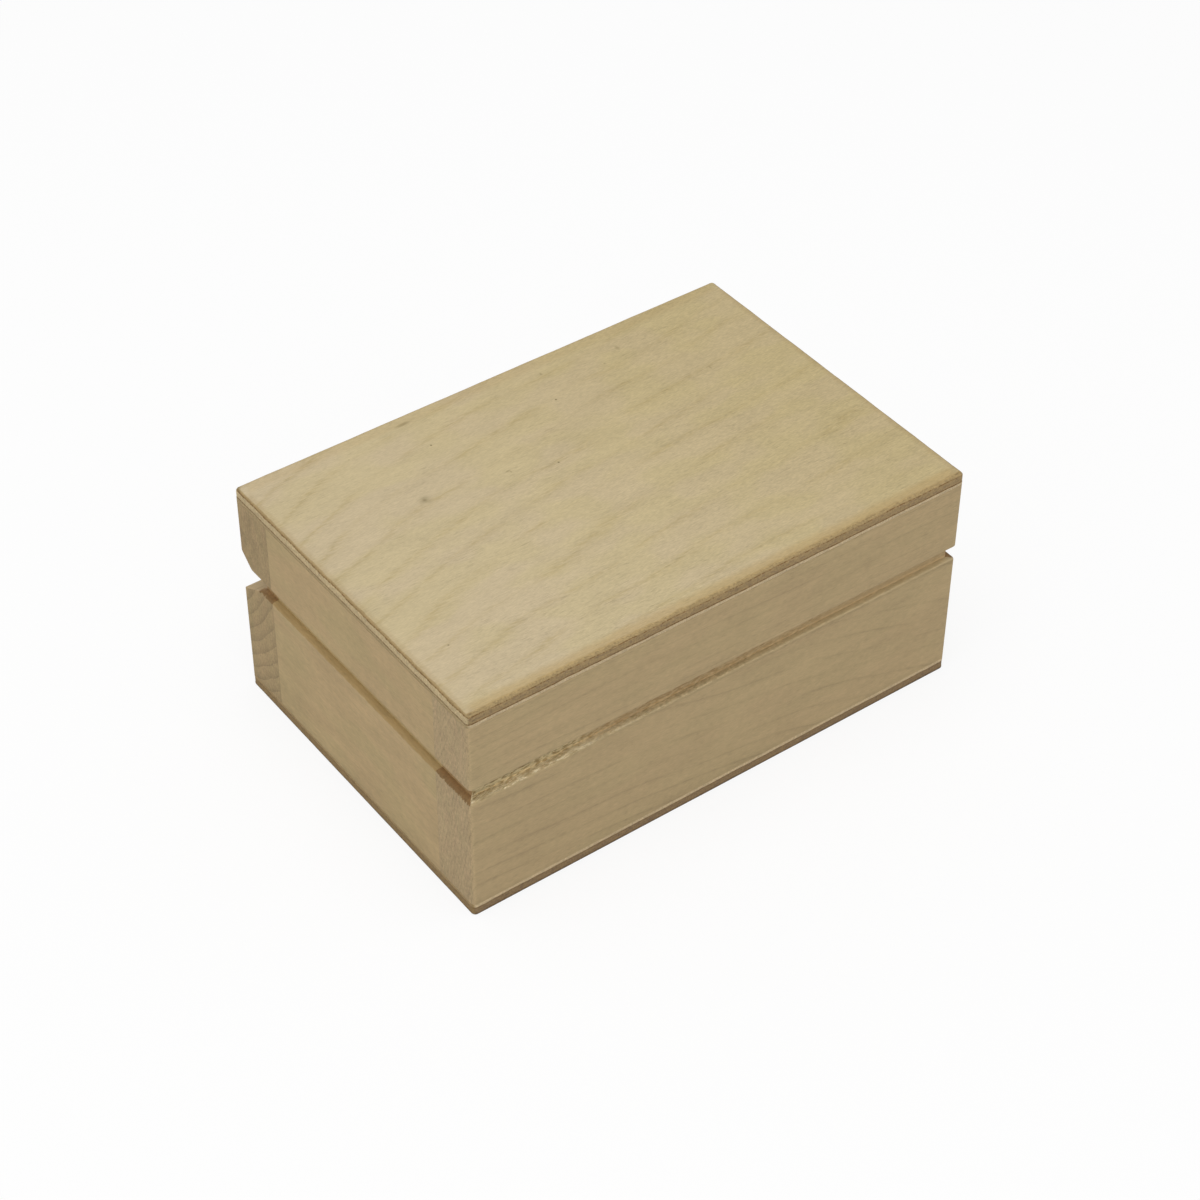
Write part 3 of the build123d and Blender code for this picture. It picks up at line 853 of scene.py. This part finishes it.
def sawn_long_wall(finish, seed):
    """The groove of the front and rear walls: dark where it crosses the end grain, reddish brown along
    the front with a paler ledge, even at its right and more and more dappled to its left, and torn and
    mottled over its left end. The end grain's dark goes on round the ledge's rim."""
    past_end, past_front = groove_reach(finish)
    from_left = finish.x - LEFT
    mottled = finish.rise(from_left, 36, 20)
    torn = finish.rise(from_left, 56, 8)
    dappled = finish.rise(from_left, 108, 50)
    across = finish.rise(past_end - past_front, -0.2, 0.2)
    nicks = finish.noise((1.6, 0.6, 0.7), 3.0, seed + 8) - 0.5
    nicked = nicks * mottled * finish.rise(finish.z, LEDGE - 0.01, LEDGE - 0.1)
    above = finish.rise(finish.z + across * 0.35 + nicked * 1.6, LEDGE - 0.28, LEDGE - 0.04)
    in_groove = finish.rise(past_end.math("MAXIMUM", past_front), -0.05, -0.005) * above
    on_back = finish.rise(finish.z, LEDGE + 0.02, LEDGE + 0.1)
    # Painted light on the groove's back low down, by the inner corner, lifting the shade there
    painted_light_low_back = finish.rise(finish.z, LEDGE + 0.9, LEDGE + 0.1) * on_back
    outer_ledge = finish.rise(past_end, 0.5, 1.4)
    scratches = finish.noise((1.6, 0.5, 0.3), 3.0, seed) - 0.5
    tufts = finish.noise((0.9, 0.4, 0.35), 3.0, seed + 2) - 0.5
    curls = finish.rise(finish.noise((1.4, 0.5, 0.5), 3.0, seed + 4), 0.44, 0.60)
    dots = finish.rise(finish.noise((0.9, 0.5, 0.6), 2.0, seed + 6), 0.46, 0.58)
    # Dark dots on the groove's back, stronger high up as painted shade under the lid's overhang
    painted_shade_under_lid = finish.rise(finish.z, LEDGE + 0.9, LEDGE + 1.8)
    curled = finish.mix(curls, tone(210, 191, 146), tone(160, 137, 94))
    shaded = finish.shade(curled, 1 - dots * painted_shade_under_lid * 0.28)
    reddish = finish.mix(curls * (dappled * 0.75 + 0.25), tone(190, 165, 123), tone(171, 143, 100))
    back = finish.mix(mottled, reddish, shaded)
    worn = finish.mix(curls * mottled, tone(238, 223, 186), tone(208, 185, 142))
    untorn = finish.mix(dots * dappled, tone(200, 180, 139), tone(183, 163, 124))
    ledge = finish.mix(torn, untorn, worn)
    front_cut = finish.mix(on_back, ledge, finish.shade(back, 1 + painted_light_low_back * (0.26 + torn * 0.2)))
    end_ledge = finish.mix(outer_ledge, tone(162, 129, 86), tone(133, 104, 66))
    end_cut = finish.mix(on_back, end_ledge, tone(173, 139, 94))
    cut = finish.mix(across, front_cut, end_cut)
    light = 1 + scratches * 0.4 + tufts * (dappled * 0.5 + 0.2)
    return in_groove, finish.shade(cut, light), scratches * 1.2 + tufts * torn * 0.8


def sawn_end_wall(finish, seed):
    """The groove of the end walls: tan, and browner towards the ledge's rim and round it."""
    past_end = groove_reach(finish)[0]
    ragged = finish.noise((1.5, 1.5, 1.5), 2.0, seed + 5) - 0.5
    above = finish.rise(finish.z + ragged * 0.5, LEDGE - 0.62, LEDGE - 0.22)
    in_groove = finish.rise(past_end, -0.05, -0.005) * above
    outer_ledge = finish.rise(past_end, 0.7, 1.5)
    scratches = finish.noise((0.5, 1.8, 0.3), 3.0, seed) - 0.5
    stains = finish.noise((3, 6, 1.5), 2.0, seed + 3) - 0.5
    cut = finish.mix(outer_ledge, tone(193, 168, 119), tone(167, 139, 92))
    light = 1 + scratches * 0.4 + stains * 0.25
    return in_groove, finish.shade(cut, light), scratches * 1.2


# How the growth rings lie in each board, as a count of rings

# The tree's middle lay this far behind the rear wall and above its ledge. The count in the rear wall
# starts at the first radius, and its rings are this wide.
TREE_BEHIND = 24.8
TREE_ABOVE = 15.6
FIRST_RADIUS = 40.2
RING_WIDTH = 2.95


def front_wall_rings(finish):
    """Lines that fall to the right along the front, ever steeper, and stand almost upright on the ends."""
    from_left = finish.x - LEFT
    uneven = finish.noise((60, 2.2, 16), 1.0, 2.0) - 0.5
    return (finish.z + from_left * 0.05 + from_left ** 2 * 0.0011) / 4.7 + finish.y / 1.0 + uneven * 0.9


def front_rail_rings(finish):
    """Almost level lines along the front, and fine upright ones on the ends."""
    uneven = finish.noise((60, 2.0, 14), 1.0, 4.0) - 0.5
    return (finish.z + (finish.x - LEFT) * 0.03) / 2.8 + finish.y / 1.1 + uneven * 0.9


def rear_wall_rings(finish):
    """Rings round the tree's middle, which lay behind the board and above it: their distance from a
    line along the box. On the ends they rise towards the front."""
    behind = finish.y - (REAR + TREE_BEHIND)
    above = finish.z - (LEDGE + TREE_ABOVE)
    radius = (behind * behind + above * above) ** 0.5
    uneven = finish.noise((60, 5, 4), 1.0, 6.0) - 0.5
    return (radius - FIRST_RADIUS + (finish.x - LEFT) * 0.02) / RING_WIDTH + uneven * 0.3


def rear_rail_rings(finish):
    """Soft streaks that stand almost upright on the ends."""
    uneven = finish.noise((60, 4, 12), 1.0, 8.0) - 0.5
    return finish.y / 4.5 + (finish.z + finish.x * 0.04) / 14 + uneven * 2.0


def end_board_rings(finish):
    """Level hazy lines along the end walls and rails."""
    return (finish.z + finish.y * 0.03) / 5.2 + finish.x / 1.7


def rolled_brass(name, colour, dull_colour, seed):
    """Rolled brass: fine scratches along the strip, and dull patches and specks."""
    finish = Finish(name)
    scratches = finish.noise((7, 0.12, 0.12), 3.0, seed) - 0.5
    patches = finish.rise(finish.noise((3, 2, 2), 3.0, seed + 2), 0.42, 0.66)
    specks = finish.rise(finish.noise((0.5, 0.5, 0.5), 2.0, seed + 4), 0.62, 0.75)
    dulled = finish.mix(patches * 0.6 + specks * 0.3, colour, dull_colour)
    finish.set(Base_Color=finish.shade(dulled, 1 + scratches * 0.2), Metallic=1.0,
               Roughness=0.32 + scratches * 0.2 + patches * 0.16)
    finish.bump(scratches - specks * 0.5, 0.015)
    return finish.material


def fibre_finish():
    """Torn fibres: pale and straw-coloured, each a little different."""
    finish = Finish("torn_fibres")
    shade = finish.noise((1.2, 0.4, 0.4), 2.0, 61.0)
    straw = finish.mix(finish.rise(shade, 0.35, 0.65), tone(186, 164, 120), tone(216, 199, 158))
    finish.set(Base_Color=straw, Roughness=0.7 + shade * 0.2, Specular_IOR_Level=WOOD_SPECULAR)
    finish.bump(finish.noise((1.5, 0.06, 0.06), 2.0, 63.0), 0.01)
    return finish.material


# Tones of the long grain of the front and rear boards and of the end boards, and of the end grain of the
# front and end boards and of the rear ones
FRONT_LONG = tone(190, 167, 126)
END_LONG = tone(190, 166, 123)
FRONT_END = tone(184, 161, 123)
REAR_END = tone(171, 148, 109)

front_wall_finish = wood("wood_front_wall", Board(
    ALONG_X, front_wall_rings, FRONT_LONG, FRONT_END, 5.0, end_lines=0.09, sawn=sawn_long_wall))
front_rail_finish = wood("wood_front_rail", Board(
    ALONG_X, front_rail_rings, FRONT_LONG, FRONT_END, 12.0, lines=0.14, end_lines=0.06))
rear_wall_finish = wood("wood_rear_wall", Board(
    ALONG_X, rear_wall_rings, FRONT_LONG, REAR_END, 19.0, sway=0.3, bands=0.16, end_lines=0.03,
    end_clouds=0.35, sawn=sawn_long_wall))
rear_rail_finish = wood("wood_rear_rail", Board(
    ALONG_X, rear_rail_rings, FRONT_LONG, REAR_END, 26.0, end_lines=0.02, end_clouds=0.5))

top_plywood = birch_plywood("birch_plywood_top", True, TOP_PLIES, 3.0)
bottom_plywood = birch_plywood("birch_plywood_bottom", False, BOTTOM_PLIES, 41.0)
panel("lid_panel", "lid", 1, CORNER_RADIUS, top_plywood)
panel("base_bottom_panel", "base", -1, BOTTOM_RADIUS, bottom_plywood)
front_board("base_front_wall", "base", 1, LEDGE_RADIUS, front_wall_finish)
front_board("lid_front_rail", "lid", -1, RAIL_RADIUS, front_rail_finish)
eased_copy("planed_base_rear_wall", "base_rear_wall", "base", "solid_wood", rear_wall_finish, BOARD_BEVEL)
eased_copy("planed_lid_rear_rail", "lid_rear_rail", "lid", "solid_wood", rear_rail_finish, BOARD_BEVEL)
torn_fibres(fibre_finish())

for number, (side, outward) in enumerate((("left", -1), ("right", 1))):
    wall = wood(f"wood_{side}_wall", Board(
        ALONG_Y, end_board_rings, END_LONG, FRONT_END, 33.0 + 7 * number, lines=0.035, clouds=0.32,
        hues=0.7, sawn=sawn_end_wall))
    rail = wood(f"wood_{side}_rail", Board(
        ALONG_Y, end_board_rings, END_LONG, FRONT_END, 47.0 + 7 * number, lines=0.035, hues=0.7))
    end_board(f"base_{side}_wall", "base", outward, 1, LEDGE_RADIUS, wall)
    end_board(f"lid_{side}_rail", "lid", outward, -1, RAIL_RADIUS, rail)

hinge_brass = rolled_brass("rolled_brass", tone(216, 190, 138), tone(186, 160, 112), 71.0)
nail_brass = rolled_brass("nail_brass", tone(240, 220, 172), tone(214, 190, 142), 83.0)
for side in ("left", "right"):
    for leaf in ("base", "lid"):
        leaf_name = f"{side}_hinge_{leaf}_leaf"
        nails_name = f"{side}_hinge_{leaf}_nails"
        eased_copy("rolled_" + leaf_name, leaf_name, leaf, "hinge_brass", hinge_brass, HINGE_BEVEL)
        eased_copy("driven_" + nails_name, nails_name, leaf, "nail_brass", nail_brass, NAIL_BEVEL)
    pin_name = f"{side}_hinge_pin"
    eased_copy("turned_" + pin_name, pin_name, "base", "hinge_brass", hinge_brass, HINGE_BEVEL)


# Room, light and camera

# How much of the floor's look is its own white, how much light it throws back at the object, and half
# its width in metres
FLOOR_GLOW = 0.85
FLOOR_ALBEDO = 0.5
FLOOR_HALF = 3.0
WHITE = (1, 1, 1, 1)

# The camera's sensor and lens in mm, its place in metres and its turn in degrees
SENSOR_WIDTH = 36
LENS = 86.288
CAMERA_PLACE = (-0.27469, -0.37025, 0.43022)
CAMERA_TURN = (48.464, -0.271, -36.328)


def floor():
    """A pale floor that looks white to the camera and keeps a soft shadow."""
    half = FLOOR_HALF
    corners = [(-half, -half, 0), (half, -half, 0), (half, half, 0), (-half, half, 0)]
    mesh = bpy.data.meshes.new("floor")
    mesh.from_pydata(corners, [], [(0, 1, 2, 3)])
    ground = bpy.data.objects.new("floor", mesh)
    bpy.context.scene.collection.objects.link(ground)
    finish = Finish("pale_floor")
    seen = finish.seen()
    paint = finish.mix(seen, (FLOOR_ALBEDO, FLOOR_ALBEDO, FLOOR_ALBEDO, 1), WHITE)
    finish.set(Base_Color=paint, Roughness=0.9, Specular_IOR_Level=0.0)
    painted = Wire(finish, finish.shader.outputs[0])
    glow = finish.node("Emission", {}, {"Color": WHITE, "Strength": 1.0})
    both = finish.node("MixShader", {}, {0: seen * FLOOR_GLOW, 1: painted, 2: glow})
    finish.feed(finish.tree.nodes["Material Output"].inputs["Surface"], both)
    mesh.materials.append(finish.material)


def room(overhead, horizon):
    """A white room that lights the object evenly. Its strength goes from overhead, straight up, to
    horizon, level with the floor, by one minus the sine of the elevation."""
    world = bpy.data.worlds.new("white_room")
    bpy.context.scene.world = world
    world.use_nodes = True
    nodes = Nodes(world.node_tree)
    direction = nodes.node("TexCoord", output="Object")
    elevation_sine = nodes.outputs("SeparateXYZ", "Z", {0: direction})[0].math("MAXIMUM", 0.0)
    strength = horizon - elevation_sine * (horizon - overhead)
    seen = nodes.seen()
    surround = world.node_tree.nodes["Background"]
    nodes.feed(surround.inputs["Color"], WHITE)
    nodes.feed(surround.inputs["Strength"], seen + (1 - seen) * strength)


def soft_lamp(name, place, aim, size, watts):
    """A square area lamp, size metres wide, that shines from place towards aim."""
    lamp = bpy.data.lights.new(name, "AREA")
    lamp.shape = "SQUARE"
    lamp.size = size
    lamp.energy = watts
    holder = bpy.data.objects.new(name, lamp)
    bpy.context.scene.collection.objects.link(holder)
    holder.location = place
    holder.rotation_euler = (Vector(aim) - Vector(place)).to_track_quat("-Z", "Y").to_euler()


def camera():
    """The camera of the photograph, fitted to the box's outline and edges."""
    lens = bpy.data.cameras.new("camera")
    lens.sensor_width = SENSOR_WIDTH
    lens.lens = LENS
    holder = bpy.data.objects.new("camera", lens)
    bpy.context.scene.collection.objects.link(holder)
    holder.location = CAMERA_PLACE
    holder.rotation_euler = [math.radians(angle) for angle in CAMERA_TURN]
    bpy.context.scene.camera = holder


floor()
room(overhead=0.1, horizon=1.26)
soft_lamp("overhead", place=(-0.15, -0.1, 0.9), aim=(0, 0, 0.03), size=0.8, watts=4.7)
camera()
bpy.context.scene.view_settings.view_transform = "Standard"
